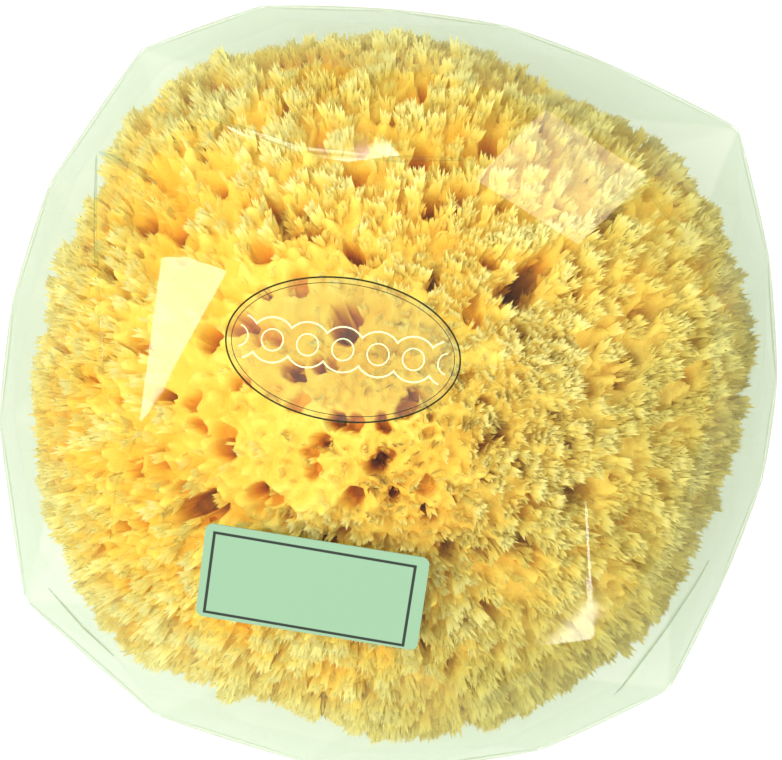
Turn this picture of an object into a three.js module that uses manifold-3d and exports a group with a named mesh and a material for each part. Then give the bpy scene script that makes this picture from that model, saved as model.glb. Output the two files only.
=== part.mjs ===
// A natural sea sponge in the clear film bag that it is sold in, with two blank labels on the bag.
// Millimetres, +Z up. The sponge lies on its cut base, the origin is at the middle of the bag's underside.
//
// Pieces: the sponge, one grown body with open pits where its large pores come out; the bag, a thin
// film shell folded flat underneath, with a long narrow mouth in its underside; a rectangular paper
// label; and an oval label of clear film.

import * as THREE from "three";
import { ConvexGeometry } from "three/addons/geometries/ConvexGeometry.js";
import { mergeVertices } from "three/addons/utils/BufferGeometryUtils.js";
import Module from "manifold-3d";

// ---- Driving dimensions ----
const SPONGE_RADIUS = 80; // mean radius of the plan outline, about 6.3 inches across
const SPONGE_HEIGHT = 84; // from the cut base to the crown
const WAIST_HEIGHT = 30; // where the sponge is widest, above its base
const UNDER_DEPTH = 38; // how far the lower half would reach below the waist if it weren't cut
const FILM = 0.4; // wall of the bag, thicker than real film so that it is a sound solid
const GAP = 0.3; // between pieces that touch
const FILM_CLEARANCE = 4.3; // how far the bag's corners stand off the sponge
const LABEL_THICKNESS = 0.3;

const BASE_Z = FILM + GAP; // the sponge's cut face, just above the bag's floor
const WAIST_Z = BASE_Z + WAIST_HEIGHT;
const DOME_HEIGHT = SPONGE_HEIGHT - WAIST_HEIGHT;

const SAME_POINT = 1e-3; // corners nearer than this are one corner

const wasm = await Module();
wasm.setup();

// ---- Joining and cutting ----

function solidOf(geometry) {
  const bare = geometry.index ? geometry.toNonIndexed() : geometry.clone();
  const onlyPlaces = new THREE.BufferGeometry();
  onlyPlaces.setAttribute("position", bare.getAttribute("position"));
  const merged = mergeVertices(onlyPlaces, SAME_POINT);
  return new wasm.Manifold(
    new wasm.Mesh({
      numProp: 3,
      vertProperties: merged.getAttribute("position").array,
      triVerts: new Uint32Array(merged.index.array),
    }),
  );
}

function geometryOf(solid) {
  const mesh = solid.getMesh();
  const geometry = new THREE.BufferGeometry();
  geometry.setAttribute("position", new THREE.BufferAttribute(mesh.vertProperties, 3));
  geometry.setIndex(new THREE.BufferAttribute(mesh.triVerts, 1));
  geometry.computeVertexNormals();
  return geometry;
}

// ---- The sponge ----

// The plan outline is round with low lobes: [how many round it, share of the radius, direction in degrees].
const LOBES = [
  [1, 0.018, 228],
  [2, 0.012, 8],
  [3, 0.01, 8],
  [4, 0.03, 31],
  [7, 0.006, 20],
];

function outlineRadius(angle) {
  let swell = 1;
  for (const [count, share, towards] of LOBES) {
    swell += share * Math.cos(count * (angle - THREE.MathUtils.degToRad(towards)));
  }
  return SPONGE_RADIUS * swell;
}

// Slow hills and hollows in the grown surface: a long wave crossed by a shorter one.
const HILL = 1.3; // height of the long wave
const HILL_LENGTH = 69; // from crest to crest of the long wave
const SHORT_SHARE = 0.6; // the shorter wave's height and length as a share of the long wave's
const LONG_START = 0.7; // where each wave starts, in radians
const SHORT_START = 1.9;

function hills({ x, y, z }) {
  const turn = (2 * Math.PI) / HILL_LENGTH;
  const shortTurn = turn / SHORT_SHARE;
  const long = Math.sin(x * turn + LONG_START) * Math.cos(y * turn);
  const short = Math.sin((y + z) * shortTurn + SHORT_START) * Math.cos((x - z) * shortTurn);
  return HILL * (long + SHORT_SHARE * short);
}

// How full the profile is: at 1 it is a plain ellipse, below 1 the shoulders and the crown are fuller.
const SHOULDER_FULLNESS = 0.84;
const UNDER_FULLNESS = 0.7;
const CROWN_FULLNESS = 0.94;

// The point of the sponge's surface that lies in one direction, a unit vector seen from the waist's centre.
function spongePoint(direction) {
  const angle = Math.atan2(direction.y, direction.x);
  const level = Math.hypot(direction.x, direction.y);
  const upper = direction.z >= 0;
  const reach = outlineRadius(angle) * level ** (upper ? SHOULDER_FULLNESS : UNDER_FULLNESS);
  const rise = upper ? DOME_HEIGHT * direction.z ** CROWN_FULLNESS : UNDER_DEPTH * direction.z;
  return new THREE.Vector3(reach * Math.cos(angle), reach * Math.sin(angle), WAIST_Z + rise);
}

// The large pores that come out on the surface: [x, y, radius at the mouth, depth].
const PITS = [
  [-23, 34, 3.2, 12],
  [27, 19, 4.6, 18],
  [40, -24, 4.2, 16],
  [23, -11, 3.0, 11],
  [13, -38, 3.0, 11],
  [28, -35, 4.4, 12],
  [49, 36, 3.0, 10],
  [-3, -18, 2.6, 12],
  [-15, -13, 2.5, 9],
  [9, 21, 2.6, 10],
  [-7, -58, 3.2, 10],
  [-63, 25, 3.8, 12],
  [-41, -27, 4.2, 13],
  [-62, 4, 2.6, 9],
  [-10, 11, 3.0, 12],
];
const PIT_SIDES = 10;
const PIT_STANDS_PROUD = 6; // the cutter starts this far outside the surface
const PIT_FLARE = 1.25; // its outer end's radius as a share of the mouth's
const PIT_TAPER = 0.45; // its radius at the bottom, likewise

// The direction whose surface point has this plan position. The radius follows from the tilt's sine.
function directionOver(x, y) {
  const angle = Math.atan2(y, x);
  const level = (Math.hypot(x, y) / outlineRadius(angle)) ** (1 / SHOULDER_FULLNESS);
  return new THREE.Vector3(level * Math.cos(angle), level * Math.sin(angle), Math.sqrt(1 - level ** 2));
}

const NORMAL_STEP = 0.02; // radians between the neighbouring points that give a surface's slope

function surfaceNormal(direction) {
  const side = new THREE.Vector3(-direction.y, direction.x, 0).normalize();
  const down = new THREE.Vector3().crossVectors(side, direction);
  const at = (a, b) =>
    spongePoint(direction.clone().addScaledVector(side, a).addScaledVector(down, b).normalize());
  const along = at(NORMAL_STEP, 0).sub(at(-NORMAL_STEP, 0));
  const across = at(0, NORMAL_STEP).sub(at(0, -NORMAL_STEP));
  const normal = new THREE.Vector3().crossVectors(along, across).normalize();
  return normal.dot(direction) < 0 ? normal.negate() : normal;
}

function pitCutter([x, y, radius, depth]) {
  const direction = directionOver(x, y);
  const mouth = spongePoint(direction);
  const outward = surfaceNormal(direction);
  const length = depth + PIT_STANDS_PROUD;
  const cutter = new THREE.CylinderGeometry(radius * PIT_FLARE, radius * PIT_TAPER, length, PIT_SIDES);
  cutter.translate(0, PIT_STANDS_PROUD - length / 2, 0);
  cutter.applyQuaternion(new THREE.Quaternion().setFromUnitVectors(new THREE.Vector3(0, 1, 0), outward));
  cutter.translate(mouth.x, mouth.y, mouth.z);
  return solidOf(cutter);
}

const MERIDIANS = 64;
const PARALLELS = 34;

function makeSponge() {
  const body = new THREE.SphereGeometry(1, MERIDIANS, PARALLELS);
  body.rotateX(Math.PI / 2);
  const places = body.getAttribute("position");
  const direction = new THREE.Vector3();
  for (let i = 0; i < places.count; i += 1) {
    direction.fromBufferAttribute(places, i).normalize();
    const grown = spongePoint(direction);
    grown.addScaledVector(direction, hills(grown));
    places.setXYZ(i, grown.x, grown.y, grown.z);
  }
  const below = new THREE.BoxGeometry(4 * SPONGE_RADIUS, 4 * SPONGE_RADIUS, SPONGE_HEIGHT);
  below.translate(0, 0, BASE_Z - SPONGE_HEIGHT / 2);
  let sponge = solidOf(body).subtract(solidOf(below));
  for (const pit of PITS) sponge = sponge.subtract(pitCutter(pit));
  return geometryOf(sponge);
}

// ---- The bag ----

// Corners of the film round the rim: [direction in degrees, distance from the axis, height].
const RIM = [
  [0, 85, 33],
  [18, 88, 29],
  [36, 96, 22],
  [55, 85, 30],
  [72, 82, 33],
  [90, 81.5, 34],
  [109, 87, 34],
  [127, 92, 27],
  [150, 87, 31],
  [168, 85, 34],
  [186, 87, 31],
  [211, 96, 19],
  [235, 91, 27],
  [258, 86.5, 32],
  [275, 85.5, 34],
  [292, 88, 32],
  [312, 93, 23],
  [328, 86, 30],
  [345, 84.5, 34],
];
const FLOOR_RADIUS = 72; // where the film folds under
const FLOOR_CORNERS = 16;
// Rings of corners over the dome: [corners, tilt from the vertical in degrees, first corner's direction].
const DOME_RINGS = [
  [18, 72, 6],
  [16, 52, 15],
  [11, 30, 2],
];

// A label lies on a flat patch of the film. Each gives its centre in plan, its half width and half height,
// its turn in degrees, the patch's margin round it, and how much further off the sponge the patch is held.
const RECTANGLE = { x: -15.5, y: -40, halfWidth: 23, halfHeight: 10.4, turn: -8, margin: 2.5, rise: 1.4 };
const OVAL = { x: -9.5, y: 6, halfWidth: 24.2, halfHeight: 14.8, turn: -8, margin: 2, rise: 0.2 };
const RECTANGLE_CORNERS = 4;
const OVAL_CORNERS = 12;
const PATCH_KEEP_OUT = 4; // the dome's own corners stay this far from a label's edge

// The frame of a label's patch: its origin, its sideways and upward directions and its outward normal.
function patchFrame({ x, y, turn, rise }) {
  const direction = directionOver(x, y);
  const normal = surfaceNormal(direction);
  const origin = spongePoint(direction).addScaledVector(normal, FILM_CLEARANCE + rise);
  const angle = THREE.MathUtils.degToRad(turn);
  const across = new THREE.Vector3(Math.cos(angle), Math.sin(angle), 0);
  across.addScaledVector(normal, -across.dot(normal)).normalize();
  const up = new THREE.Vector3().crossVectors(normal, across);
  return new THREE.Matrix4().makeBasis(across, up, normal).setPosition(origin);
}

const RECTANGLE_FRAME = patchFrame(RECTANGLE);
const OVAL_FRAME = patchFrame(OVAL);

function patchCorners(label, frame, sides) {
  const wide = label.halfWidth + label.margin;
  const high = label.halfHeight + label.margin;
  const corners = [];
  for (let i = 0; i < sides; i += 1) {
    const angle = ((i + 0.5) * 2 * Math.PI) / sides;
    const spread = sides === RECTANGLE_CORNERS ? Math.SQRT2 : 1;
    const corner = new THREE.Vector3(wide * Math.cos(angle), high * Math.sin(angle), 0);
    corners.push(corner.multiplyScalar(spread).applyMatrix4(frame));
  }
  return corners;
}

// True for a point of the film that a label's flat patch stands over.
function underPatch(point, label, frame) {
  const local = point.clone().applyMatrix4(frame.clone().invert());
  const beside = Math.abs(local.x) - label.halfWidth;
  const above = Math.abs(local.y) - label.halfHeight;
  return Math.max(beside, above) < PATCH_KEEP_OUT;
}

function filmCorners() {
  const corners = [];
  for (let i = 0; i < FLOOR_CORNERS; i += 1) {
    const angle = (i * 2 * Math.PI) / FLOOR_CORNERS;
    const reach = (FLOOR_RADIUS * outlineRadius(angle)) / SPONGE_RADIUS;
    corners.push(new THREE.Vector3(reach * Math.cos(angle), reach * Math.sin(angle), 0));
  }
  for (const [degrees, reach, height] of RIM) {
    const angle = THREE.MathUtils.degToRad(degrees);
    corners.push(new THREE.Vector3(reach * Math.cos(angle), reach * Math.sin(angle), height));
  }
  for (const [count, tiltDegrees, first] of DOME_RINGS) {
    const tilt = THREE.MathUtils.degToRad(tiltDegrees);
    for (let i = 0; i < count; i += 1) {
      const angle = THREE.MathUtils.degToRad(first + (i * 360) / count);
      const direction = new THREE.Vector3(
        Math.sin(tilt) * Math.cos(angle),
        Math.sin(tilt) * Math.sin(angle),
        Math.cos(tilt),
      );
      const corner = spongePoint(direction).addScaledVector(surfaceNormal(direction), FILM_CLEARANCE);
      const covered =
        underPatch(corner, RECTANGLE, RECTANGLE_FRAME) || underPatch(corner, OVAL, OVAL_FRAME);
      if (!covered) corners.push(corner);
    }
  }
  corners.push(...patchCorners(RECTANGLE, RECTANGLE_FRAME, RECTANGLE_CORNERS));
  corners.push(...patchCorners(OVAL, OVAL_FRAME, OVAL_CORNERS));
  return corners;
}

const MOUTH = { length: 110, width: 1.2, y: -30 }; // the slit between the folded ends of the film

function makeBag() {
  const corners = filmCorners();
  const top = Math.max(...corners.map((corner) => corner.z));
  const outside = new ConvexGeometry(corners);
  const inside = outside.clone();
  const sideways = 1 - FILM / FLOOR_RADIUS;
  inside.scale(sideways, sideways, (top - 2 * FILM) / top);
  inside.translate(0, 0, FILM);
  const slit = new THREE.BoxGeometry(MOUTH.length, MOUTH.width, 2 * FILM);
  slit.translate(0, MOUTH.y, FILM / 4);
  return geometryOf(solidOf(outside).subtract(solidOf(inside)).subtract(solidOf(slit)));
}

// ---- The labels ----

const LABEL_CURVE_STEPS = 12; // to each rounded corner, and four times that round the oval
const CORNER_RADIUS = 1.6;

function labelGeometry(shape, frame) {
  const plate = new THREE.ExtrudeGeometry(shape, {
    depth: LABEL_THICKNESS,
    bevelEnabled: false,
    curveSegments: LABEL_CURVE_STEPS,
  });
  plate.translate(0, 0, GAP);
  return plate.applyMatrix4(frame);
}

function rectangleShape({ halfWidth, halfHeight }) {
  const x = halfWidth - CORNER_RADIUS;
  const y = halfHeight - CORNER_RADIUS;
  const shape = new THREE.Shape();
  shape.absarc(x, -y, CORNER_RADIUS, -Math.PI / 2, 0);
  shape.absarc(x, y, CORNER_RADIUS, 0, Math.PI / 2);
  shape.absarc(-x, y, CORNER_RADIUS, Math.PI / 2, Math.PI);
  shape.absarc(-x, -y, CORNER_RADIUS, Math.PI, 1.5 * Math.PI);
  return shape;
}

function ovalShape({ halfWidth, halfHeight }) {
  const shape = new THREE.Shape();
  shape.absellipse(0, 0, halfWidth, halfHeight, 0, 2 * Math.PI);
  return shape;
}

// ---- The assembly ----

function named(name, geometry, material) {
  const mesh = new THREE.Mesh(geometry, material);
  mesh.name = name;
  return mesh;
}

const spongin = new THREE.MeshStandardMaterial({ color: 0xf0d257, roughness: 0.9, metalness: 0 });
const clearFilm = new THREE.MeshStandardMaterial({
  color: 0xf2faf0,
  roughness: 0.08,
  metalness: 0,
  transparent: true,
  opacity: 0.15,
});
const greenPaper = new THREE.MeshStandardMaterial({ color: 0xb8e0b4, roughness: 0.55, metalness: 0 });
const clearLabel = new THREE.MeshStandardMaterial({
  color: 0xf7faf2,
  roughness: 0.12,
  metalness: 0,
  transparent: true,
  opacity: 0.2,
});

const packedSponge = new THREE.Group();
packedSponge.add(
  named("sponge", makeSponge(), spongin),
  named("bag", makeBag(), clearFilm),
  named("rectangular_label", labelGeometry(rectangleShape(RECTANGLE), RECTANGLE_FRAME), greenPaper),
  named("oval_label", labelGeometry(ovalShape(OVAL), OVAL_FRAME), clearLabel),
);

// The origin goes under the middle of the bag.
const extent = new THREE.Box3().setFromObject(packedSponge);
const middle = extent.getCenter(new THREE.Vector3());
packedSponge.position.set(-middle.x, -middle.y, -extent.min.z);

export default packedSponge;
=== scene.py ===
"""A natural sea sponge in its clear film bag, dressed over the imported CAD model. Metres, +Z up.

The porous body is grown inside the CAD sponge, combs of fine fibres are planted on its tufts, the film
is creased from the CAD bag's corners, and both labels get their finish.
"""

import math
import random

import bmesh
import bpy
import numpy as np
from mathutils import Matrix, Vector
from mathutils.bvhtree import BVHTree


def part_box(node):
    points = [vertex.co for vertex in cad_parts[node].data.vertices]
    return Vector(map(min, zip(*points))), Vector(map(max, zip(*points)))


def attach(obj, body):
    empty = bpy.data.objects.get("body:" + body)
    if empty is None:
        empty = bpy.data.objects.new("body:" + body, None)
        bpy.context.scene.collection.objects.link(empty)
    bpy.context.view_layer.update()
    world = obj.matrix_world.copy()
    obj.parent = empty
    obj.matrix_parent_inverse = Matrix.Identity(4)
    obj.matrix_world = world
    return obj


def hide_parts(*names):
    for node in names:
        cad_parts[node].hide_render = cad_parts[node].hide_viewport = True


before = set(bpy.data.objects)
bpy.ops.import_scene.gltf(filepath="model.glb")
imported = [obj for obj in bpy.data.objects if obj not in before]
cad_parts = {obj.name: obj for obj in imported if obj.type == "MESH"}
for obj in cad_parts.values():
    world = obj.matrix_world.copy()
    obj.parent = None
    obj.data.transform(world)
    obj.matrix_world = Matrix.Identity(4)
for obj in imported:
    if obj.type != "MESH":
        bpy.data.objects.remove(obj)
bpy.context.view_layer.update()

bl_info = {
    "name": "Packed sea sponge",
    "version": (1, 0, 0),
    "blender": (4, 5, 0),
    "location": "3D View > Sidebar > Sponge",
    "description": "Grows a natural sea sponge, its film bag and its labels over a packed frame",
    "category": "Object",
}

MM = 0.001
SPONGE_LOW, SPONGE_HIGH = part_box("sponge")

# The kinds of node that most patterns and shapes are worked out with.
MATH = "ShaderNodeMath"
VECTOR_MATH = "ShaderNodeVectorMath"
MAP_RANGE = "ShaderNodeMapRange"
NOISE = "ShaderNodeTexNoise"


def linear(hex_colour):
    """An sRGB hex colour as linear red, green, blue."""
    shares = [int(hex_colour[i : i + 2], 16) / 255 for i in (1, 3, 5)]
    return tuple(s / 12.92 if s <= 0.04045 else ((s + 0.055) / 1.055) ** 2.4 for s in shares)


def add(tree, kind, inputs=None, out=0, **settings):
    """Adds a node with its settings and links, and returns the output socket called out."""
    node = tree.nodes.new(kind)
    for name, value in settings.items():
        setattr(node, name, value)
    for name, value in (inputs or {}).items():
        if isinstance(value, bpy.types.NodeSocket):
            tree.links.new(value, node.inputs[name])
        else:
            node.inputs[name].default_value = value
    return node.outputs[out] if len(node.outputs) else node


def ramp(tree, share, stops):
    """A colour ramp over share, with stops of (place, hex colour)."""
    colour = add(tree, "ShaderNodeValToRGB", {"Fac": share}, "Color")
    band = colour.node.color_ramp
    while len(band.elements) < len(stops):
        band.elements.new(0.5)
    for element, (place, hex_colour) in zip(band.elements, stops):
        element.position = place
    for element, (place, hex_colour) in zip(band.elements, stops):
        element.color = (*linear(hex_colour), 1)
    return colour


def new_material(name):
    """A new material and its empty node tree."""
    material = bpy.data.materials.new(name)
    material.use_nodes = True
    material.node_tree.nodes.clear()
    return material, material.node_tree


# ---- Settings that a user would change ----


class SpongeSettings(bpy.types.PropertyGroup):
    """The grown body and its fibres"""

    fineness: bpy.props.IntProperty(
        name="Fineness",
        description="Subdivisions of the ball that the body grows from",
        default=8,
        min=4,
        max=9,
    )
    tuft_pitch: bpy.props.FloatProperty(
        name="Tuft pitch", description="Spacing of the tufts", default=3.4 * MM, unit="LENGTH"
    )
    tuft_height: bpy.props.FloatProperty(
        name="Tuft height", description="How far a tuft stands up", default=3.2 * MM, unit="LENGTH"
    )
    pore_pitch: bpy.props.FloatProperty(
        name="Pore pitch", description="Spacing of the open pores", default=8 * MM, unit="LENGTH"
    )
    pore_depth: bpy.props.FloatProperty(
        name="Pore depth", description="Depth of the open pores", default=8 * MM, unit="LENGTH"
    )
    reach: bpy.props.FloatProperty(
        name="Reach",
        description="Room left under the skin for the tongues",
        default=2.6 * MM,
        unit="LENGTH",
    )
    triangles: bpy.props.IntProperty(
        name="Triangles", description="Most triangles in the grown body", default=150000, min=1000
    )


class FilmSettings(bpy.types.PropertyGroup):
    """The clear film bag"""

    thickness: bpy.props.FloatProperty(
        name="Thickness", description="Thickness of the film", default=0.08 * MM, unit="LENGTH"
    )
    tint: bpy.props.FloatVectorProperty(
        name="Tint",
        description="Colour of light straight through one layer",
        subtype="COLOR",
        size=3,
        default=linear("#fdfefb"),
    )


class StageSettings(bpy.types.PropertyGroup):
    """Camera, lights and floor"""

    camera_height: bpy.props.FloatProperty(
        name="Camera height", description="Height of the lens above the floor", default=0.70, unit="LENGTH"
    )
    lens: bpy.props.FloatProperty(
        name="Lens", description="Focal length in millimetres on a 36 mm sensor", default=139.3
    )


# ---- Materials ----


# Spongin from its tips to the bottom of a pore: place along the ramp, and colour. The straw is the
# spongin's own colour; the fall to amber and brown further in is painted shade, warmed as painted glow of
# light through the walls.
SPONGIN_AND_SHADE_COLOURS = (
    (0.0, "#f8e996"),
    (0.1, "#f5dd70"),
    (0.28, "#f0c950"),
    (0.5, "#ecb032"),
    (0.75, "#dc8a20"),
    (1.0, "#9a581c"),
)
# The duller colour of the right side and the lower body: partly the spongin's own tone, partly painted
# shade.
DULL_SHADED_SPONGIN = "#d0bf66"
# How far a hollow, an open pore and a tongue's tip move the colour along the ramp: painted shade, deeper in
# hollows and pores and lifted at the tips.
HOLLOW_SHADE_SHARE = 0.08
PORE_SHADE_SHARE = 0.35
TIP_SHADE_SHARE = -0.16
PATCH_SIZE = 22 * MM
DULL_SHADE_PATCH_SIZE = 50 * MM
# How fast the body grows duller along x, y and z, per metre: partly the spongin's own tone, partly painted
# shade on the right, away from the key light, and lower down.
DULL_SHADE_SLOPE = (6.5, -3.0, -1.5)
# Real fibres are about 0.03 mm thick. Strands and grain are drawn as coarse as they need to show.
STRAND_WIDTH = 0.6 * MM
GRAIN_SIZE = 0.9 * MM
FIBRE_HEIGHT = 0.4 * MM
# The strands are as wide as that at this distance from the middle.
BODY_RADIUS = 70 * MM


def spongin(name, leaf):
    """Dry spongin: matt straw fibre, with painted shade turning it amber and brown deeper in, and duller on
    one side, partly as painted shade. The share leaf of the light goes right through, which makes its thin
    walls glow."""
    material, tree = new_material(name)
    place = add(tree, "ShaderNodeTexCoord", out="Object")
    relief = add(tree, "ShaderNodeAttribute", out="Fac", attribute_name="relief")
    pore = add(tree, "ShaderNodeAttribute", out="Fac", attribute_name="pore")
    depth = add(tree, "ShaderNodeAttribute", out="Fac", attribute_name="depth")
    tip = add(tree, "ShaderNodeAttribute", out="Fac", attribute_name="tip")
    # Painted shade: the colour darkens with depth under the skin, further in hollows and pores, and
    # lightens towards the tongues' tips.
    level = add(tree, MATH, {0: relief, 1: HOLLOW_SHADE_SHARE, 2: depth}, operation="MULTIPLY_ADD")
    level = add(tree, MATH, {0: pore, 1: PORE_SHADE_SHARE, 2: level}, operation="MULTIPLY_ADD")
    level = add(tree, MATH, {0: tip, 1: TIP_SHADE_SHARE, 2: level}, operation="MULTIPLY_ADD")
    patches = add(tree, NOISE, {"Vector": place, "Scale": 1 / PATCH_SIZE, "Detail": 3.0}, "Fac")
    shift = add(
        tree,
        MAP_RANGE,
        {"Value": patches, "From Min": 0.3, "From Max": 0.7, "To Min": -0.06, "To Max": 0.1},
    )
    level = add(tree, MATH, {0: level, 1: shift}, operation="ADD")
    colour = ramp(tree, level, SPONGIN_AND_SHADE_COLOURS)
    # The right side and the lower body are duller: partly the spongin's own tone, partly painted shade away
    # from the key light; a slope across the body, broken up by patches.
    patches = {"Vector": place, "Scale": 1 / DULL_SHADE_PATCH_SIZE, "Detail": 3.0, "Roughness": 0.6}
    dull_shade = add(tree, NOISE, patches, "Fac")
    across = add(tree, VECTOR_MATH, {0: place, 1: DULL_SHADE_SLOPE}, "Value", operation="DOT_PRODUCT")
    dull_shade = add(tree, MATH, {0: across, 1: dull_shade}, operation="ADD")
    dull_shade = add(tree, MAP_RANGE, {"Value": dull_shade, "From Min": 0.38, "From Max": 0.95, "To Max": 0.8})
    colours = {"Factor": dull_shade, "A": colour, "B": (*linear(DULL_SHADED_SPONGIN), 1)}
    colour = add(tree, "ShaderNodeMix", colours, "Result", data_type="RGBA")
    # Fine fibres run outwards from the middle of the body.
    arm = add(tree, VECTOR_MATH, {0: place, 1: growth_centre()}, operation="SUBTRACT")
    way = add(tree, VECTOR_MATH, {0: arm}, operation="NORMALIZE")
    strands = {"Vector": way, "Scale": BODY_RADIUS / STRAND_WIDTH, "Detail": 2.0}
    strands = add(tree, NOISE, strands, "Fac")
    grain = {"Vector": place, "Scale": 1 / GRAIN_SIZE, "Detail": 3.0, "Roughness": 0.7}
    grain = add(tree, NOISE, grain, "Fac")
    fibres = add(tree, MATH, {0: strands, 1: grain}, operation="ADD")
    bump = add(tree, "ShaderNodeBump", {"Height": fibres, "Strength": 0.6, "Distance": FIBRE_HEIGHT})
    matt = {"Roughness": 0.85, "IOR": 1.54, "Specular IOR Level": 0.25}
    shader = add(tree, "ShaderNodeBsdfPrincipled", {"Base Color": colour, "Normal": bump, **matt})
    through = add(tree, "ShaderNodeBsdfTranslucent", {"Color": colour, "Normal": bump})
    shader = add(tree, "ShaderNodeMixShader", {0: leaf, 1: shader, 2: through})
    add(tree, "ShaderNodeOutputMaterial", {"Surface": shader})
    return material


# How wide and how high the faint waves in the film are.
FILM_WAVE_SIZE = 18 * MM
FILM_WAVE_HEIGHT = 0.05 * MM


def film_material(look):
    """Clear cellulose film, cast and folded: a hard gloss on its facets, slightly waved, and a green-grey
    tint where it turns edge on."""
    material, tree = new_material("Cellulose film, clear")
    place = add(tree, "ShaderNodeTexCoord", out="Object")
    waves = add(tree, NOISE, {"Vector": place, "Scale": 1 / FILM_WAVE_SIZE, "Detail": 1.0}, "Fac")
    bump = add(tree, "ShaderNodeBump", {"Height": waves, "Strength": 1.0, "Distance": FILM_WAVE_HEIGHT})
    # The gloss rises to the edge as the fifth power of the slant, the same from both sides of the film.
    slant = add(tree, "ShaderNodeLayerWeight", {"Blend": 0.5, "Normal": bump}, "Facing")
    tints = {"Factor": slant, "A": (*look.tint, 1), "B": (*linear("#e6ede1"), 1)}
    tint = add(tree, "ShaderNodeMix", tints, "Result", data_type="RGBA")
    clear = add(tree, "ShaderNodeBsdfTransparent", {"Color": tint})
    gloss = add(tree, "ShaderNodeBsdfGlossy", {"Color": (1, 1, 1, 1), "Roughness": 0.04, "Normal": bump})
    share = add(tree, MATH, {0: slant, 1: 5.0}, operation="POWER")
    share = add(tree, MAP_RANGE, {"Value": share, "To Min": 0.011, "To Max": 0.3})
    mixed = add(tree, "ShaderNodeMixShader", {0: share, 1: clear, 2: gloss})
    add(tree, "ShaderNodeOutputMaterial", {"Surface": mixed})
    return material


def fold_material():
    """Creased cellulose film: whitened along the crease, partly as real stress whitening and partly as a
    painted highlight for the crease's glint, and greener, as light crosses several layers.
    """
    material, tree = new_material("Cellulose film, creased")
    clear = add(tree, "ShaderNodeBsdfTransparent", {"Color": (*linear("#b9c8ae"), 1)})
    # Painted highlight in part: the white share also stands in for the light that the crease would catch.
    white_and_glint = add(tree, "ShaderNodeBsdfDiffuse", {"Color": (*linear("#eef2e4"), 1)})
    gloss = add(tree, "ShaderNodeBsdfGlossy", {"Color": (1, 1, 1, 1), "Roughness": 0.1})
    body = add(tree, "ShaderNodeMixShader", {0: 0.42, 1: clear, 2: white_and_glint})
    mixed = add(tree, "ShaderNodeMixShader", {0: 0.08, 1: body, 2: gloss})
    add(tree, "ShaderNodeOutputMaterial", {"Surface": mixed})
    return material


def flat_place(tree, node):
    """Places on a CAD label's face: along it, across it and off it, in metres from its middle."""
    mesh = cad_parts[node].data
    face = max(mesh.polygons, key=lambda polygon: polygon.area if polygon.normal.z > 0 else 0)
    spots = np.array([vertex.co for vertex in mesh.vertices])
    shift = spots - spots.mean(axis=0)
    off = np.array(face.normal)
    along = np.linalg.svd(shift)[2][0]
    along = along - off * along.dot(off)
    along = along / np.linalg.norm(along) * (1 if along[0] > 0 else -1)
    axes = np.array([along, np.cross(off, along), off])
    places = spots @ axes.T
    middle = (places.min(axis=0) + places.max(axis=0)) / 2 @ axes
    turn = Matrix(axes.T.tolist()).to_euler()
    place = add(tree, "ShaderNodeTexCoord", out="Object")
    mapping = {"Vector": place, "Location": Vector(middle), "Rotation": turn}
    return add(tree, "ShaderNodeMapping", mapping, vector_type="TEXTURE")


# A printed line's edge is soft over this far each way.
INK_SPREAD = 0.03 * MM


def line(tree, distance, width):
    """1 within half a width of where distance is nought, and 0 beyond it, in metres."""
    off = add(tree, MATH, {0: distance}, operation="ABSOLUTE")
    near = {"Value": off, "From Min": width / 2 - INK_SPREAD, "From Max": width / 2 + INK_SPREAD}
    return add(tree, MAP_RANGE, {**near, "To Min": 1.0, "To Max": 0.0})


# The sticker's border: half its length and width, how far it is set off the middle, and its line's width.
BORDER_HALF = (20.65 * MM, 8.9 * MM, 0)
BORDER_SHIFT = (0.5 * MM, 0.55 * MM, 0)
BORDER_WIDTH = 0.6 * MM
# How wide and how high the paper's tooth is.
TOOTH_SIZE = 0.4 * MM
TOOTH_HEIGHT = 0.02 * MM


def paper_material(node):
    """Uncoated green sticker paper, printed with one black border: satin, with a faint tooth."""
    material, tree = new_material("Sticker paper, pale green")
    place = flat_place(tree, node)
    place = add(tree, VECTOR_MATH, {0: place, 1: BORDER_SHIFT}, operation="ADD")
    off = add(tree, VECTOR_MATH, {0: place}, operation="ABSOLUTE")
    off = add(tree, VECTOR_MATH, {0: off, 1: BORDER_HALF}, operation="SUBTRACT")
    parts = add(tree, "ShaderNodeSeparateXYZ", {0: off}, "X")
    outside = add(tree, MATH, {0: parts, 1: parts.node.outputs["Y"]}, operation="MAXIMUM")
    ink = line(tree, outside, BORDER_WIDTH)
    colours = {"Factor": ink, "A": (*linear("#78987a"), 1), "B": (*linear("#20271f"), 1)}
    colour = add(tree, "ShaderNodeMix", colours, "Result", data_type="RGBA")
    tooth = add(tree, NOISE, {"Vector": place, "Scale": 1 / TOOTH_SIZE, "Detail": 2.0}, "Fac")
    bump = add(tree, "ShaderNodeBump", {"Height": tooth, "Strength": 0.3, "Distance": TOOTH_HEIGHT})
    paper = {"Base Color": colour, "Roughness": 0.4, "IOR": 1.5, "Specular IOR Level": 0.4, "Normal": bump}
    shader = add(tree, "ShaderNodeBsdfPrincipled", paper)
    add(tree, "ShaderNodeOutputMaterial", {"Surface": shader})
    return material


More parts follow.
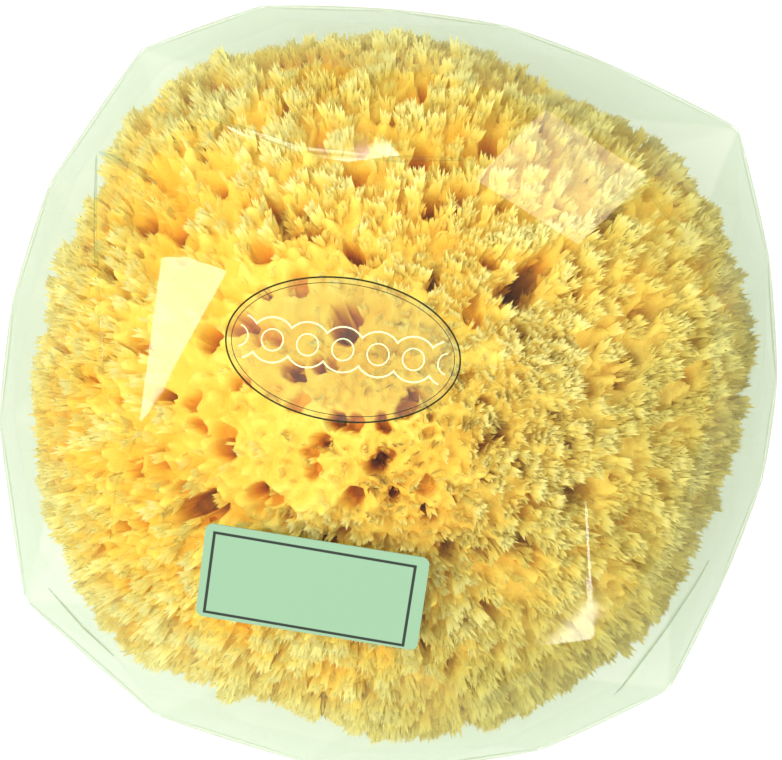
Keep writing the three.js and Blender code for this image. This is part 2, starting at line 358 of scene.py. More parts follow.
def ellipse_distance(tree, place, half_long, half_short):
    """Roughly how far place is outside an ellipse, in metres."""
    squash = (1 / half_long, 1 / half_short, 0)
    unit = add(tree, VECTOR_MATH, {0: place, 1: squash}, operation="MULTIPLY")
    square = add(tree, VECTOR_MATH, {0: unit, 1: unit}, "Value", operation="DOT_PRODUCT")
    slope = add(tree, VECTOR_MATH, {0: unit, 1: squash}, operation="MULTIPLY")
    steep = add(tree, VECTOR_MATH, {0: slope}, "Value", operation="LENGTH")
    steep = add(tree, MATH, {0: steep, 1: 2.0}, operation="MULTIPLY")
    over = add(tree, MATH, {0: square, 1: 1.0}, operation="SUBTRACT")
    return add(tree, MATH, {0: over, 1: steep}, operation="DIVIDE")


# The rings' spacing, and the radius and line width of each size of ring.
RING_PITCH = 7.2 * MM
RINGS = ((4.6 * MM, 0.32 * MM), (2.2 * MM, 0.26 * MM))


def ring_band(tree, place):
    """A plain band of linked rings along the middle of the oval: 1 on its lines."""
    parts = add(tree, "ShaderNodeSeparateXYZ", {0: place}, "X")
    across = parts.node.outputs["Y"]
    lap = add(tree, MATH, {0: parts, 1: RING_PITCH / 2}, operation="PINGPONG")
    spot = add(tree, "ShaderNodeCombineXYZ", {"X": lap, "Y": across})
    off = add(tree, VECTOR_MATH, {0: spot}, "Value", operation="LENGTH")
    rings = []
    for radius, width in RINGS:
        out = add(tree, MATH, {0: off, 1: radius}, operation="SUBTRACT")
        rings.append(line(tree, out, width))
    return add(tree, MATH, {0: rings[0], 1: rings[1]}, operation="MAXIMUM")


# The oval's outer and inner line: half its length, half its width, and the line's own width.
OUTER_OVAL = (23.85 * MM, 14.45 * MM, 0.32 * MM)
INNER_OVAL = (22.7 * MM, 13.3 * MM, 0.12 * MM)
# The rings run out between these distances inside the inner line.
RING_MARGIN = (1.3 * MM, 1.2 * MM)
# How opaque the rings' pale ink is.
RING_INK = 0.6


def clear_label_material(node):
    """Printed clear film: two dark oval lines and a pale band of rings, with only gloss between them."""
    material, tree = new_material("Label film, clear, printed")
    place = flat_place(tree, node)
    outer = ellipse_distance(tree, place, *OUTER_OVAL[:2])
    inner = ellipse_distance(tree, place, *INNER_OVAL[:2])
    drawn = {0: line(tree, outer, OUTER_OVAL[2]), 1: line(tree, inner, INNER_OVAL[2])}
    lines = add(tree, MATH, drawn, operation="MAXIMUM")
    start, end = RING_MARGIN
    inside = {"Value": inner, "From Min": -start, "From Max": -end, "To Min": 1.0, "To Max": 0.0}
    inside = add(tree, MAP_RANGE, inside)
    rings = add(tree, MATH, {0: ring_band(tree, place), 1: inside}, operation="MULTIPLY")
    rings = add(tree, MATH, {0: rings, 1: RING_INK}, operation="MULTIPLY")
    clear = add(tree, "ShaderNodeBsdfTransparent", {"Color": (*linear("#fbfcf6"), 1)})
    gloss = add(tree, "ShaderNodeBsdfGlossy", {"Color": (1, 1, 1, 1), "Roughness": 0.06})
    film = add(tree, "ShaderNodeMixShader", {0: 0.04, 1: clear, 2: gloss})
    pale = add(tree, "ShaderNodeBsdfDiffuse", {"Color": (*linear("#d3dfb4"), 1)})
    dark = add(tree, "ShaderNodeBsdfDiffuse", {"Color": (*linear("#262c18"), 1)})
    film = add(tree, "ShaderNodeMixShader", {0: rings, 1: film, 2: pale})
    film = add(tree, "ShaderNodeMixShader", {0: lines, 1: film, 2: dark})
    add(tree, "ShaderNodeOutputMaterial", {"Surface": film})
    return material


# ---- The sponge ----


# Where the body grows from: shifts from the middle of the CAD sponge, and the height over its base.
CENTRE_SHIFT = (1 * MM, -10 * MM)
CENTRE_HEIGHT = 22 * MM


def growth_centre():
    """The point that the tufts point away from, low in the middle of the body."""
    middle = (SPONGE_LOW + SPONGE_HIGH) / 2
    right, back = CENTRE_SHIFT
    return Vector((middle.x + right, middle.y + back, SPONGE_LOW.z + CENTRE_HEIGHT))


# The ball that tufts and pores are drawn on, as large as the body is on average.
PATTERN_RADIUS = 72 * MM
# How wide and how far the pattern is wobbled.
WOBBLE_SIZE = 9 * MM
WOBBLE = 7 * MM
# The radius inside which the crown is smoothest, the radius outside which it is fully tufted, and the share
# of the tufts' height that is left on the crown.
CROWN_RADIUS = 22 * MM
SHOULDER_RADIUS = 50 * MM
CROWN_SHARE = 0.35
# Heights over the base between which the flat cut turns to grown body.
CUT_HEIGHT = 0.5 * MM
GROWN_HEIGHT = 7 * MM
# How wide the nicks in the tufts are, and the broad swells under them.
RAGGED_SIZE = 2.2 * MM
SWELL_SIZE = 13 * MM
# How wide a patch of tips leans one way, and how far.
LEAN_SIZE = 5 * MM
LEAN = 4 * MM
# Where a pore's wall starts and ends, as shares of the pore pitch from its middle.
PORE_MOUTH = 0.36
PORE_FLOOR = 0.26


def growth_tree(look, centre):
    """Geometry nodes that send a fine ball out to the CAD sponge's skin, with tufts and pores in it."""
    tree = bpy.data.node_groups.new("Porous growth", "GeometryNodeTree")
    tree.interface.new_socket("Geometry", in_out="INPUT", socket_type="NodeSocketGeometry")
    tree.interface.new_socket("Geometry", in_out="OUTPUT", socket_type="NodeSocketGeometry")
    skin = add(tree, "NodeGroupInput")
    globe = add(tree, "GeometryNodeMeshIcoSphere", {"Radius": 1.0, "Subdivisions": look.fineness}, "Mesh")
    place = add(tree, "GeometryNodeInputPosition")
    middle = add(tree, "FunctionNodeInputVector", vector=centre)
    way = add(tree, VECTOR_MATH, {0: place}, operation="NORMALIZE")
    hit = add(
        tree,
        "GeometryNodeRaycast",
        {"Target Geometry": skin, "Source Position": middle, "Ray Direction": way, "Ray Length": 1.0},
        "Hit Position",
    )

    # Places on a ball round the centre, wobbled, so that what is drawn there runs outwards.
    ball = add(tree, VECTOR_MATH, {0: way, "Scale": PATTERN_RADIUS}, operation="SCALE")
    waves = add(tree, NOISE, {"Vector": ball, "Scale": 1 / WOBBLE_SIZE, "Detail": 2.0}, "Color")
    waves = add(tree, VECTOR_MATH, {0: waves, 1: (0.5, 0.5, 0.5)}, operation="SUBTRACT")
    waves = add(tree, VECTOR_MATH, {0: waves, "Scale": WOBBLE}, operation="SCALE")
    spot = add(tree, VECTOR_MATH, {0: ball, 1: waves}, operation="ADD")

    # The crown is smoother than the shoulders and sides, and the cut underneath is flat.
    from_axis = add(tree, VECTOR_MATH, {0: hit, 1: (1, 1, 0)}, operation="MULTIPLY")
    from_axis = add(tree, VECTOR_MATH, {0: from_axis}, "Value", operation="LENGTH")
    shoulder = add(
        tree,
        MAP_RANGE,
        {"Value": from_axis, "From Min": CROWN_RADIUS, "From Max": SHOULDER_RADIUS, "To Min": CROWN_SHARE},
        interpolation_type="SMOOTHSTEP",
    )
    height = add(tree, "ShaderNodeSeparateXYZ", {0: hit}, "Z")
    grown = add(
        tree,
        MAP_RANGE,
        {"Value": height, "From Min": SPONGE_LOW.z + CUT_HEIGHT, "From Max": SPONGE_LOW.z + GROWN_HEIGHT},
        interpolation_type="SMOOTHSTEP",
    )

    # Tufts: relief is nought on their tips and rises to the hollows between them.
    cells = {"Vector": spot, "Scale": 1 / look.tuft_pitch, "Smoothness": 0.2}
    tuft = add(tree, "ShaderNodeTexVoronoi", cells, "Distance", feature="SMOOTH_F1")
    slope = {"Value": tuft, "From Min": 0.15, "From Max": 0.78}
    tuft = add(tree, MAP_RANGE, slope, interpolation_type="SMOOTHSTEP")
    tuft = add(tree, MATH, {0: tuft, 1: shoulder}, operation="MULTIPLY")
    ragged = {"Vector": spot, "Scale": 1 / RAGGED_SIZE, "Detail": 2.0, "Roughness": 0.6}
    ragged = add(tree, NOISE, ragged, "Fac")
    ragged = {"Value": ragged, "From Min": 0.3, "From Max": 0.7, "To Min": -0.16, "To Max": 0.2}
    ragged = add(tree, MAP_RANGE, ragged)
    swell = add(tree, NOISE, {"Vector": spot, "Scale": 1 / SWELL_SIZE, "Detail": 1.0}, "Fac")
    swell = add(tree, MAP_RANGE, {"Value": swell, "From Min": 0.35, "From Max": 0.65, "To Max": 0.5})
    relief = add(tree, MATH, {0: tuft, 1: ragged}, operation="ADD")
    relief = add(tree, MATH, {0: relief, 1: swell}, operation="ADD")
    relief = add(tree, MATH, {0: relief, 1: grown}, operation="MULTIPLY")

    # Open pores: round, wider where a cell's middle lies nearer the skin, and each with its own depth.
    cells = {"Vector": spot, "Scale": 1 / look.pore_pitch}
    mouth = add(tree, "ShaderNodeTexVoronoi", cells, "Distance", feature="F1")
    wall = {"Value": mouth, "From Min": PORE_MOUTH, "From Max": PORE_FLOOR}
    pore = add(tree, MAP_RANGE, wall, interpolation_type="SMOOTHSTEP")
    pore = add(tree, MATH, {0: pore, 1: grown}, operation="MULTIPLY")
    lot = add(tree, "ShaderNodeSeparateXYZ", {0: mouth.node.outputs["Color"]}, "X")
    deep = add(tree, MAP_RANGE, {"Value": lot, "To Min": 0.3, "To Max": 1.0})
    pore = add(tree, MATH, {0: pore, 1: deep}, operation="MULTIPLY")
    sunk = add(tree, MATH, {0: pore, 1: look.pore_depth}, operation="MULTIPLY")
    carved = add(tree, MATH, {0: relief, 1: look.tuft_height, 2: sunk}, operation="MULTIPLY_ADD")
    carved = add(tree, MATH, {0: grown, 1: look.reach, 2: carved}, operation="MULTIPLY_ADD")
    inward = add(tree, MATH, {0: carved, 1: -1.0}, operation="MULTIPLY")
    inward = add(tree, VECTOR_MATH, {0: way, "Scale": inward}, operation="SCALE")

    # The tips lean to one side or another, and the hollows stay where they are.
    tip = add(tree, MAP_RANGE, {"Value": relief, "To Min": 1.0, "To Max": 0.0})
    tip = add(tree, MATH, {0: tip, 1: grown}, operation="MULTIPLY")
    lean = add(tree, NOISE, {"Vector": ball, "Scale": 1 / LEAN_SIZE, "Detail": 1.0}, "Color")
    lean = add(tree, VECTOR_MATH, {0: lean, 1: (0.5, 0.5, 0.5)}, operation="SUBTRACT")
    lean = add(tree, VECTOR_MATH, {0: lean, "Scale": LEAN}, operation="SCALE")
    lean = add(tree, VECTOR_MATH, {0: lean, "Scale": tip}, operation="SCALE")

    moved = add(tree, VECTOR_MATH, {0: hit, 1: inward}, operation="ADD")
    moved = add(tree, VECTOR_MATH, {0: moved, 1: lean}, operation="ADD")
    body = globe
    for name, value in (("relief", relief), ("pore", pore)):
        stored = {"Geometry": body, "Name": name, "Value": value}
        body = add(tree, "GeometryNodeStoreNamedAttribute", stored)
    body = add(tree, "GeometryNodeSetPosition", {"Geometry": body, "Position": moved})
    add(tree, "NodeGroupOutput", {0: body})
    return tree


def settle(piece):
    """Applies a piece's modifiers to its mesh."""
    graph = bpy.context.evaluated_depsgraph_get()
    mesh = bpy.data.meshes.new_from_object(piece.evaluated_get(graph), depsgraph=graph)
    piece.modifiers.clear()
    piece.data = mesh
    mesh.name = piece.name


def copy_of(node, name):
    """A new object with a merged copy of a CAD node's mesh."""
    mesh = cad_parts[node].data.copy()
    mesh.materials.clear()
    piece = bpy.data.objects.new(name, mesh)
    bpy.context.scene.collection.objects.link(piece)
    shape = bmesh.new()
    shape.from_mesh(mesh)
    bmesh.ops.remove_doubles(shape, verts=shape.verts, dist=0.01 * MM)
    shape.to_mesh(mesh)
    shape.free()
    return piece


def keep_hull(shape):
    """Turns shape into the convex hull of its own vertices."""
    bmesh.ops.delete(shape, geom=shape.edges[:], context="EDGES_FACES")
    made = bmesh.ops.convex_hull(shape, input=shape.verts)
    left_over = set(made["geom_interior"] + made["geom_unused"])
    spare = [vertex for vertex in shape.verts if vertex in left_over]
    bmesh.ops.delete(shape, geom=spare, context="VERTS")
    bmesh.ops.recalc_face_normals(shape, faces=shape.faces)


def hull_of(node):
    """A search tree of the convex hull of a CAD node."""
    shape = bmesh.new()
    shape.from_mesh(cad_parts[node].data)
    keep_hull(shape)
    tree = BVHTree.FromBMesh(shape)
    shape.free()
    return tree


# A vertex this deep under the hull gets the depth 1, which drives the painted shade in the spongin's
# colour.
DEPTH_SCALE = 22 * MM
# Whatever lies under the film keeps this far inside the bag's hull.
FILM_GAP = 0.35 * MM


def settle_under_film(piece, centre):
    """Presses a piece in where it would come through the film, and stores how deep each vertex lies."""
    skin = hull_of("sponge")
    film = hull_of("bag")
    depths = np.zeros(len(piece.data.vertices), np.float32)
    for vertex in piece.data.vertices:
        arm = vertex.co - centre
        long = arm.length
        way = arm / long
        room = film.ray_cast(centre, way)[3] - FILM_GAP
        if long > room:
            vertex.co = centre + way * room
            long = room
        depths[vertex.index] = (skin.ray_cast(centre, way)[3] - long) / DEPTH_SCALE
    attribute = piece.data.attributes.get("depth") or piece.data.attributes.new("depth", "FLOAT", "POINT")
    attribute.data.foreach_set("value", depths)


# The share of light that goes through the body's walls, and through the thinner tongues.
BODY_LEAF = 0.12
TONGUE_LEAF = 0.18


class SPONGE_OT_grow_body(bpy.types.Operator):
    """Grow the porous body inside the CAD sponge"""

    bl_idname = "sponge.grow_body"
    bl_label = "Grow the body"

    def execute(self, context):
        look = context.scene.sponge_look
        centre = growth_centre()
        body = copy_of("sponge", "sponge_body")
        growth = body.modifiers.new("Growth", "NODES")
        growth.node_group = growth_tree(look, centre)
        settle(body)
        full = sum(len(face.vertices) - 2 for face in body.data.polygons)
        if full > look.triangles:
            thin = body.modifiers.new("Thin", "DECIMATE")
            thin.ratio = look.triangles / full
            thin.use_collapse_triangulate = True
            settle(body)
        settle_under_film(body, centre)
        body.data.shade_smooth()
        body.data.materials.clear()
        body.data.materials.append(spongin("Spongin, grown walls", BODY_LEAF))
        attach(body, "root")
        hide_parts("sponge")
        return {"FINISHED"}


# ---- The tongues ----


# A tongue's half thickness in the middle, how far its tip bows over, and how much of its stem is sunk.
BLADE_SWELL = 0.1 * MM
BLADE_BOW = 1.0 * MM
SUNK_SHARE = 0.3
# The shoulder of the leaf: its height as a share of the stem, and its half width as a share of the top.
SHOULDER_HEIGHT = 0.65
SHOULDER_WIDTH = 0.44


def tongue(name, teeth, root, top, stem, length, draw):
    """One tongue as one closed mesh: a thin leaf that widens upwards and ends in a comb of teeth."""
    shape = bmesh.new()
    wide, high = SHOULDER_WIDTH * top, SHOULDER_HEIGHT * stem
    outline = [(-root / 2, 0.0), (root / 2, 0.0), (wide, high)]
    for i in range(teeth):
        along = 0.5 - (i + 0.5) / teeth
        outline.append((along * top * draw.uniform(1.0, 1.35), stem + length * draw.uniform(0.35, 1.0)))
        if i < teeth - 1:
            outline.append(((along - 0.5 / teeth) * top, stem - length * draw.uniform(0.0, 0.5)))
    outline.append((-wide, high))
    leaf = shape.faces.new([shape.verts.new((x, 0, z)) for x, z in outline])
    leaf.normal_update()
    for edge in shape.edges:
        edge.smooth = False
    bmesh.ops.poke(shape, faces=[leaf], offset=BLADE_SWELL, center_mode="BOUNDS")
    back = bmesh.ops.duplicate(shape, geom=shape.verts[:] + shape.edges[:] + shape.faces[:])["geom"]
    back = [item for item in back if isinstance(item, bmesh.types.BMVert)]
    bmesh.ops.scale(shape, verts=back, vec=(1, -1, 1))
    bmesh.ops.remove_doubles(shape, verts=shape.verts, dist=0.001 * MM)
    bmesh.ops.recalc_face_normals(shape, faces=shape.faces)
    tall = stem + length
    for vertex in shape.verts:
        vertex.co.y += BLADE_BOW * (vertex.co.z / tall) ** 2
        vertex.co.z -= SUNK_SHARE * stem
    mesh = bpy.data.meshes.new(name)
    shape.to_mesh(mesh)
    shape.free()
    tips = mesh.attributes.new("tip", "FLOAT", "POINT")
    for vertex in mesh.vertices:
        tips.data[vertex.index].value = (vertex.co.z + SUNK_SHARE * stem) / tall
    return bpy.data.objects.new(name, mesh)


# The middle of the body's smooth part, and the radii between which the tongues come in.
BARE_CROWN = (-24 * MM, 2 * MM, 0)
BARE_RADIUS = 20 * MM
CROWDED_RADIUS = 62 * MM
# What share of the tongues still stands where the body is barest.
BARE_SHARE = 0.08
# Heights over the base between which the tongues come in.
TONGUE_HEIGHTS = (3 * MM, 7 * MM)
# How much a tongue follows the surface under it, how far it strays, and how far it turns, in radians.
FOLLOW = 0.25
STRAY = 0.25
TURN = 0.7
# The smallest and the largest tongue, as shares of the one that is planted.
SIZES = (0.55, 1.1)
# How much more an open pore keeps tongues away than a hollow does.
PORE_WEIGHT = 3.0
# An arm reaches no further down than this, so that low tongues still stand outwards.
LOWEST_ARM = -8 * MM


def planting_tree(shape, centre, count_per_m2, deepest, seed):
    """Geometry nodes that plant tongues on the tips of the grown body, leaning away from its middle."""
    tree = bpy.data.node_groups.new("Tongue planting", "GeometryNodeTree")
    tree.interface.new_socket("Geometry", in_out="INPUT", socket_type="NodeSocketGeometry")
    tree.interface.new_socket("Geometry", in_out="OUTPUT", socket_type="NodeSocketGeometry")
    body = add(tree, "NodeGroupInput")
    relief = add(tree, "GeometryNodeInputNamedAttribute", {"Name": "relief"}, "Attribute")
    pore = add(tree, "GeometryNodeInputNamedAttribute", {"Name": "pore"}, "Attribute")
    sunk = add(tree, MATH, {0: pore, 1: PORE_WEIGHT, 2: relief}, operation="MULTIPLY_ADD")
    sparse = {"Value": sunk, "From Min": 0.5 * deepest, "From Max": deepest}
    chance = add(tree, MAP_RANGE, {**sparse, "To Min": count_per_m2, "To Max": 0.0})
    place = add(tree, "GeometryNodeInputPosition")
    height = add(tree, "ShaderNodeSeparateXYZ", {0: place}, "Z")
    low, high = (SPONGE_LOW.z + over for over in TONGUE_HEIGHTS)
    above = add(tree, MAP_RANGE, {"Value": height, "From Min": low, "From Max": high})
    chance = add(tree, MATH, {0: chance, 1: above}, operation="MULTIPLY")
    # The crown and the side that the film presses flat are nearly bare, so that their pores show.
    from_axis = add(tree, VECTOR_MATH, {0: place, 1: BARE_CROWN}, operation="SUBTRACT")
    from_axis = add(tree, VECTOR_MATH, {0: from_axis, 1: (1, 1, 0)}, operation="MULTIPLY")
    from_axis = add(tree, VECTOR_MATH, {0: from_axis}, "Value", operation="LENGTH")
    zone = {"Value": from_axis, "From Min": BARE_RADIUS, "From Max": CROWDED_RADIUS}
    crowded = add(tree, MAP_RANGE, {**zone, "To Min": BARE_SHARE})
    chance = add(tree, MATH, {0: chance, 1: crowded}, operation="MULTIPLY")
    spread = {"Mesh": body, "Density": chance, "Seed": seed}
    points = add(tree, "GeometryNodeDistributePointsOnFaces", spread, "Points")
    normal = points.node.outputs["Normal"]
    middle = add(tree, "FunctionNodeInputVector", vector=centre)
    arm = add(tree, VECTOR_MATH, {0: place, 1: middle}, operation="SUBTRACT")
    arm = add(tree, VECTOR_MATH, {0: arm, 1: (-1.0, -1.0, LOWEST_ARM)}, operation="MAXIMUM")
    way = add(tree, VECTOR_MATH, {0: arm}, operation="NORMALIZE")
    tangent = add(tree, VECTOR_MATH, {0: (0, 0, 1), 1: way}, operation="CROSS_PRODUCT")
    tilt = add(tree, VECTOR_MATH, {0: normal, "Scale": FOLLOW}, operation="SCALE")
    way = add(tree, VECTOR_MATH, {0: way, 1: tilt}, operation="ADD")
    stray = {"Min": [-STRAY] * 3, "Max": [STRAY] * 3, "Seed": seed + 1}
    stray = add(tree, "FunctionNodeRandomValue", stray, data_type="FLOAT_VECTOR")
    way = add(tree, VECTOR_MATH, {0: way, 1: stray}, operation="ADD")
    stand = add(tree, "FunctionNodeAlignRotationToVector", {"Vector": way}, axis="Z")
    flat = {"Rotation": stand, "Vector": tangent}
    stand = add(tree, "FunctionNodeAlignRotationToVector", flat, axis="X", pivot_axis="Z")
    turn = add(tree, "FunctionNodeRandomValue", {2: -TURN, 3: TURN, "Seed": seed + 2}, 1, data_type="FLOAT")
    spin = add(tree, "FunctionNodeAxisAngleToRotation", {"Axis": (0, 0, 1), "Angle": turn})
    stand = add(tree, "FunctionNodeRotateRotation", {0: stand, 1: spin}, rotation_space="LOCAL")
    sizes = {2: SIZES[0], 3: SIZES[1], "Seed": seed + 3}
    size = add(tree, "FunctionNodeRandomValue", sizes, 1, data_type="FLOAT")
    one = add(tree, "GeometryNodeObjectInfo", {"Object": shape}, "Geometry")
    planting = {"Points": points, "Instance": one, "Rotation": stand, "Scale": size}
    planted = add(tree, "GeometryNodeInstanceOnPoints", planting)
    real = add(tree, "GeometryNodeRealizeInstances", {"Geometry": planted})
    add(tree, "NodeGroupOutput", {0: real})
    return tree


# Tongues: name, teeth; root, top, stem and tooth length in mm; tongues per square metre; and the relief
# past which none stand.
TONGUES = (
    ("tongues_broad", 8, 1.6, 2.9, 3.0, 2.2, 170000, 1.1),
    ("tongues_middling", 6, 1.2, 2.1, 2.9, 2.0, 210000, 1.1),
    ("tongues_slim", 3, 0.7, 1.0, 2.9, 2.0, 320000, 1.0),
)
# The tongues lean away from a point this high over the middle.
LEAN_HEIGHT = 58 * MM
FIRST_SEED = 7


class SPONGE_OT_plant_tongues(bpy.types.Operator):
    """Plant the tongues of fine fibres on the grown body"""

    bl_idname = "sponge.plant_tongues"
    bl_label = "Plant the tongues"

    def execute(self, context):
        centre = growth_centre()
        lean_centre = Vector((centre.x, centre.y, LEAN_HEIGHT))
        body = bpy.data.objects["sponge_body"]
        finish = spongin("Spongin, fibre combs", TONGUE_LEAF)
        for seed, (name, teeth, root, top, stem, length, count, deepest) in enumerate(TONGUES):
            draw = random.Random(seed + FIRST_SEED)
            one = tongue(name + "_one", teeth, root * MM, top * MM, stem * MM, length * MM, draw)
            piece = bpy.data.objects.new(name, body.data.copy())
            context.scene.collection.objects.link(piece)
            planting = piece.modifiers.new("Planting", "NODES")
            planting.node_group = planting_tree(one, lean_centre, count, deepest, 10 * seed)
            settle(piece)
            bpy.data.objects.remove(one)
            settle_under_film(piece, centre)
            piece.data.shade_smooth()
            piece.data.materials.clear()
            piece.data.materials.append(finish)
            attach(piece, "root")
        return {"FINISHED"}


# ---- The film ----


# Flat facets where the film is pulled tight: the way each faces, and its outline's x and y in mm.
FACETS = (
    ((-0.50, 0.10, 0.86), ((-46.3, 27.3), (-40.5, 27.1), (-32.0, 24.0), (-38.1, 8.6), (-50.9, -8.8))),
    ((-0.09, 0.50, 0.86), ((-34.0, 54.0), (-16.0, 50.0), (4.0, 47.0), (-8.0, 45.5), (-22.0, 48.0))),
)
# How far a facet's plane clears the hull.
FACET_LIFT = 0.15 * MM
# How much lower the film is than the CAD bag, as a share of its height, so that it clears the labels.
LABEL_ROOM = 0.9975


def add_facets(shape):
    """Adds each facet's corners, on a plane that just clears the hull."""
    for way, outline in FACETS:
        normal = Vector(way).normalized()
        reach = max(vertex.co.dot(normal) for vertex in shape.verts) + FACET_LIFT
        for x, y in outline:
            z = (reach - normal.x * x * MM - normal.y * y * MM) / normal.z
            shape.verts.new((x * MM, y * MM, z))


# Creases in the film, seen from above: width in mm, then x and y in mm along each.
CREASES = (
    (1.5, ((-61.8, 50.4), (-54.0, 46.5), (-46.3, 41.0))),
    (1.1, ((-62.4, 49.8), (-60.8, 26.0), (-58.6, 1.4))),
    (1.7, ((-39.2, 56.9), (-18.0, 48.9), (2.0, 46.6), (19.1, 46.8))),
    (1.2, ((52.8, 43.3), (58.0, 36.0), (63.6, 31.9))),
    (0.7, ((45.0, 37.5), (52.8, 43.3), (60.0, 45.5))),
    (0.9, ((68.9, -37.3), (59.5, -52.0), (48.1, -68.4))),
    (0.7, ((-74.0, -44.0), (-66.0, -52.0), (-57.4, -59.0))),
    (0.6, ((-50.9, -8.8), (-56.0, -20.0), (-58.0, -34.0))),
)
CREASE_STEP = 2 * MM
# The bag's widest corners lie between these heights.
RIM_HEIGHTS = (15 * MM, 36 * MM)
RIM_WIDTH = 1.1 * MM
# How many steps a crease takes from one corner of the widest line to the next.
RIM_STEPS = 4
# A crease's foot lies this far under the film, and its ridge stands this share of its width over it.
CREASE_SUNK = 0.05 * MM
CREASE_RISE = 0.5
# How wide a crease is at its ends, as a share of its width.
CREASE_END = 0.15
# Above the whole bag, where the rays that find the film start.
OVERHEAD = 0.2
# How far each fold is rounded, and the angle below which two facets are one.
FOLD_RADIUS = 0.6 * MM
FLAT_ANGLE = math.radians(2)


def add_crease(shape, spots, ways, width):
    """Adds a narrow ridge along spots, standing up towards ways and running out at both ends."""
    rows = []
    last = len(spots) - 1
    for i, (spot, way) in enumerate(zip(spots, ways)):
        along = (spots[min(i + 1, last)] - spots[max(i - 1, 0)]).normalized()
        side = along.cross(way).normalized()
        swell = math.sin(math.pi * min(max(i / last, 0.02), 0.98)) ** 0.5
        wide = width * (CREASE_END + (1 - CREASE_END) * swell)
        low = spot - way * CREASE_SUNK
        corners = (low - side * wide / 2, spot + way * wide * CREASE_RISE, low + side * wide / 2)
        rows.append([shape.verts.new(corner) for corner in corners])
    for row, following in zip(rows, rows[1:]):
        for j in (0, 1):
            face = shape.faces.new((row[j], row[j + 1], following[j + 1], following[j]))
            face.material_index = 1
            face.smooth = True


def crease_film(shape, skin, rim):
    """Creases the film along CREASES on skin, and along its widest line, through the corners in rim."""
    rim.sort(key=lambda spot: math.atan2(spot.y, spot.x))
    for width, outline in CREASES:
        spots, ways = [], []
        for (x0, y0), (x1, y1) in zip(outline, outline[1:]):
            steps = max(2, round(math.hypot(x1 - x0, y1 - y0) * MM / CREASE_STEP))
            for i in range(steps):
                share = i / steps
                above = Vector(((x0 + (x1 - x0) * share) * MM, (y0 + (y1 - y0) * share) * MM, OVERHEAD))
                spot, way, face, distance = skin.ray_cast(above, Vector((0, 0, -1)))
                spots.append(spot)
                ways.append(way)
        add_crease(shape, spots, ways, width * MM)
    for start, end in zip(rim, rim[1:] + rim[:1]):
        out = Vector((start.x + end.x, start.y + end.y, 0)).normalized()
        spots = [start.lerp(end, i / RIM_STEPS) for i in range(RIM_STEPS + 1)]
        add_crease(shape, spots, [out] * len(spots), RIM_WIDTH)


class SPONGE_OT_wrap_film(bpy.types.Operator):
    """Crease the clear film bag from the CAD bag's corners"""

    bl_idname = "sponge.wrap_film"
    bl_label = "Wrap the film"

    def execute(self, context):
        look = context.scene.film_look
        film = copy_of("bag", "film_bag")
        shape = bmesh.new()
        shape.from_mesh(film.data)
        keep_hull(shape)
        add_facets(shape)
        keep_hull(shape)
        bmesh.ops.scale(shape, verts=shape.verts, vec=(1, 1, LABEL_ROOM))
        skin = BVHTree.FromBMesh(shape)
        low, high = RIM_HEIGHTS
        rim = [vertex.co.copy() for vertex in shape.verts if low < vertex.co.z < high]
        bmesh.ops.dissolve_limit(shape, angle_limit=FLAT_ANGLE, verts=shape.verts, edges=shape.edges)
        bmesh.ops.bevel(
            shape,
            geom=shape.edges[:],
            offset=FOLD_RADIUS,
            offset_type="OFFSET",
            segments=2,
            profile=0.5,
            affect="EDGES",
            clamp_overlap=True,
            material=-1,
        )
        bmesh.ops.recalc_face_normals(shape, faces=shape.faces)
        crease_film(shape, skin, rim)
        shape.to_mesh(film.data)
        shape.free()
        film.data.materials.clear()
        film.data.materials.append(film_material(look))
        film.data.materials.append(fold_material())
        wall = film.modifiers.new("Wall", "SOLIDIFY")
        wall.thickness = look.thickness
        wall.offset = -1
        settle(film)
        # So thin and clear a film casts next to no shadow.
        film.visible_shadow = False
        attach(film, "root")
        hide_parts("bag")
        return {"FINISHED"}


# ---- The labels ----


class SPONGE_OT_finish_labels(bpy.types.Operator):
    """Give the paper and the clear label their finish"""

    bl_idname = "sponge.finish_labels"
    bl_label = "Finish the labels"

    def execute(self, context):
        finishes = {"rectangular_label": paper_material, "oval_label": clear_label_material}
        for node, finish in finishes.items():
            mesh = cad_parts[node].data
            mesh.materials.clear()
            mesh.materials.append(finish(node))
        return {"FINISHED"}


# ---- The stage ----


# Softboxes: name, place and size in metres, power in watts, and whether the film mirrors it. The key and
# the fill light the body; the others are small, and show mostly as highlights in the film.
SOFTBOXES = (
    ("key", (-0.50, -0.15, 1.05), (1.0, 0.8), 14.5, False),
    ("fill", (0.95, -0.35, 0.55), (1.0, 0.8), 6.5, False),
    ("left", (-0.84, 0.18, 0.46), (0.13, 0.13), 0.9, True),
    ("back", (-0.17, 0.86, 0.45), (0.40, 0.07), 2.0, True),
    ("right", (0.52, 0.74, 0.37), (0.20, 0.16), 0.8, True),
    ("low", (0.55, -0.70, 0.40), (0.40, 0.08), 2.0, True),
)
LOOK_AT = Vector((0, 0, 0.05))
SKY_STRENGTH = 0.97
FLOOR_GREY = 0.45
# The floor glows a little, so that it stays white wherever the softboxes don't reach.
FLOOR_GLOW = 0.55
FLOOR_HALF = 4.0
# The lens hangs this far off the axis, over the middle of the bag's outline.
CAMERA_SHIFT = (0.76 * MM, 1.45 * MM)


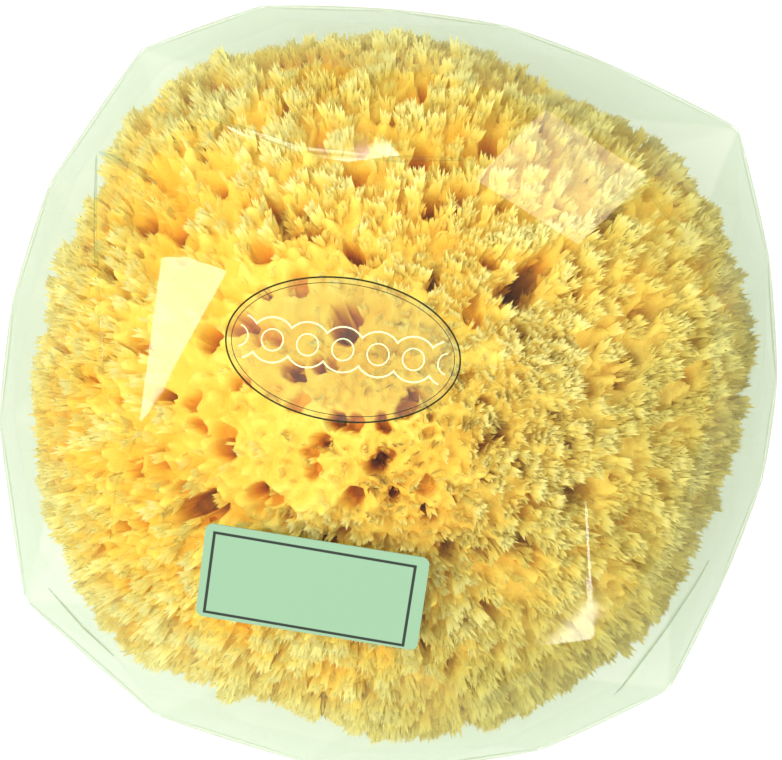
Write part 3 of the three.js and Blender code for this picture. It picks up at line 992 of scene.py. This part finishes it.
class SPONGE_OT_set_stage(bpy.types.Operator):
    """Set the floor, the soft lights and the camera"""

    bl_idname = "sponge.set_stage"
    bl_label = "Set the stage"

    def execute(self, context):
        look = context.scene.stage_look
        scene = context.scene
        scene.view_settings.view_transform = "Standard"
        floor_mesh = bpy.data.meshes.new("floor")
        shape = bmesh.new()
        bmesh.ops.create_grid(shape, x_segments=1, y_segments=1, size=FLOOR_HALF)
        shape.to_mesh(floor_mesh)
        shape.free()
        floor = bpy.data.objects.new("floor", floor_mesh)
        scene.collection.objects.link(floor)
        material, tree = new_material("Paper sweep, white")
        diffuse = add(tree, "ShaderNodeBsdfDiffuse", {"Color": (FLOOR_GREY, FLOOR_GREY, FLOOR_GREY, 1)})
        glow = add(tree, "ShaderNodeEmission", {"Color": (1, 1, 1, 1), "Strength": FLOOR_GLOW})
        both = add(tree, "ShaderNodeAddShader", {0: diffuse, 1: glow})
        add(tree, "ShaderNodeOutputMaterial", {"Surface": both})
        floor_mesh.materials.append(material)

        world = bpy.data.worlds.new("Sky")
        world.use_nodes = True
        sky = world.node_tree.nodes["Background"]
        sky.inputs["Color"].default_value = (1, 1, 1, 1)
        sky.inputs["Strength"].default_value = SKY_STRENGTH
        scene.world = world

        for name, place, size, watts, mirrored in SOFTBOXES:
            lamp = bpy.data.lights.new(name, "AREA")
            lamp.shape = "RECTANGLE"
            lamp.size, lamp.size_y = size
            lamp.energy = watts
            box = bpy.data.objects.new(name, lamp)
            box.visible_glossy = mirrored
            box.location = place
            box.rotation_mode = "QUATERNION"
            box.rotation_quaternion = (LOOK_AT - box.location).to_track_quat("-Z", "Y")
            scene.collection.objects.link(box)

        camera = bpy.data.cameras.new("camera")
        camera.lens = look.lens
        camera.sensor_width = 36
        camera_object = bpy.data.objects.new("camera", camera)
        camera_object.location = (*CAMERA_SHIFT, look.camera_height)
        camera.clip_start = 0.01
        scene.collection.objects.link(camera_object)
        scene.camera = camera_object
        return {"FINISHED"}


class SPONGE_PT_panel(bpy.types.Panel):
    """The steps that dress the sponge"""

    bl_idname = "SPONGE_PT_panel"
    bl_label = "Packed sea sponge"
    bl_space_type = "VIEW_3D"
    bl_region_type = "UI"
    bl_category = "Sponge"

    def draw(self, context):
        for step in STEPS:
            self.layout.operator(step.bl_idname)


STEPS = (
    SPONGE_OT_grow_body,
    SPONGE_OT_plant_tongues,
    SPONGE_OT_wrap_film,
    SPONGE_OT_finish_labels,
    SPONGE_OT_set_stage,
)
GROUPS = {"sponge_look": SpongeSettings, "film_look": FilmSettings, "stage_look": StageSettings}


def register():
    """Registers the settings, the steps and the panel."""
    for kind in (*GROUPS.values(), *STEPS, SPONGE_PT_panel):
        bpy.utils.register_class(kind)
    for name, kind in GROUPS.items():
        setattr(bpy.types.Scene, name, bpy.props.PointerProperty(type=kind))


def unregister():
    """Takes away what register added."""
    for name in GROUPS:
        delattr(bpy.types.Scene, name)
    for kind in reversed((*GROUPS.values(), *STEPS, SPONGE_PT_panel)):
        bpy.utils.unregister_class(kind)


def main():
    """Dresses the sponge step by step."""
    register()
    bpy.ops.sponge.grow_body()
    bpy.ops.sponge.plant_tongues()
    bpy.ops.sponge.wrap_film()
    bpy.ops.sponge.finish_labels()
    bpy.ops.sponge.set_stage()


if __name__ == "__main__":
    main()
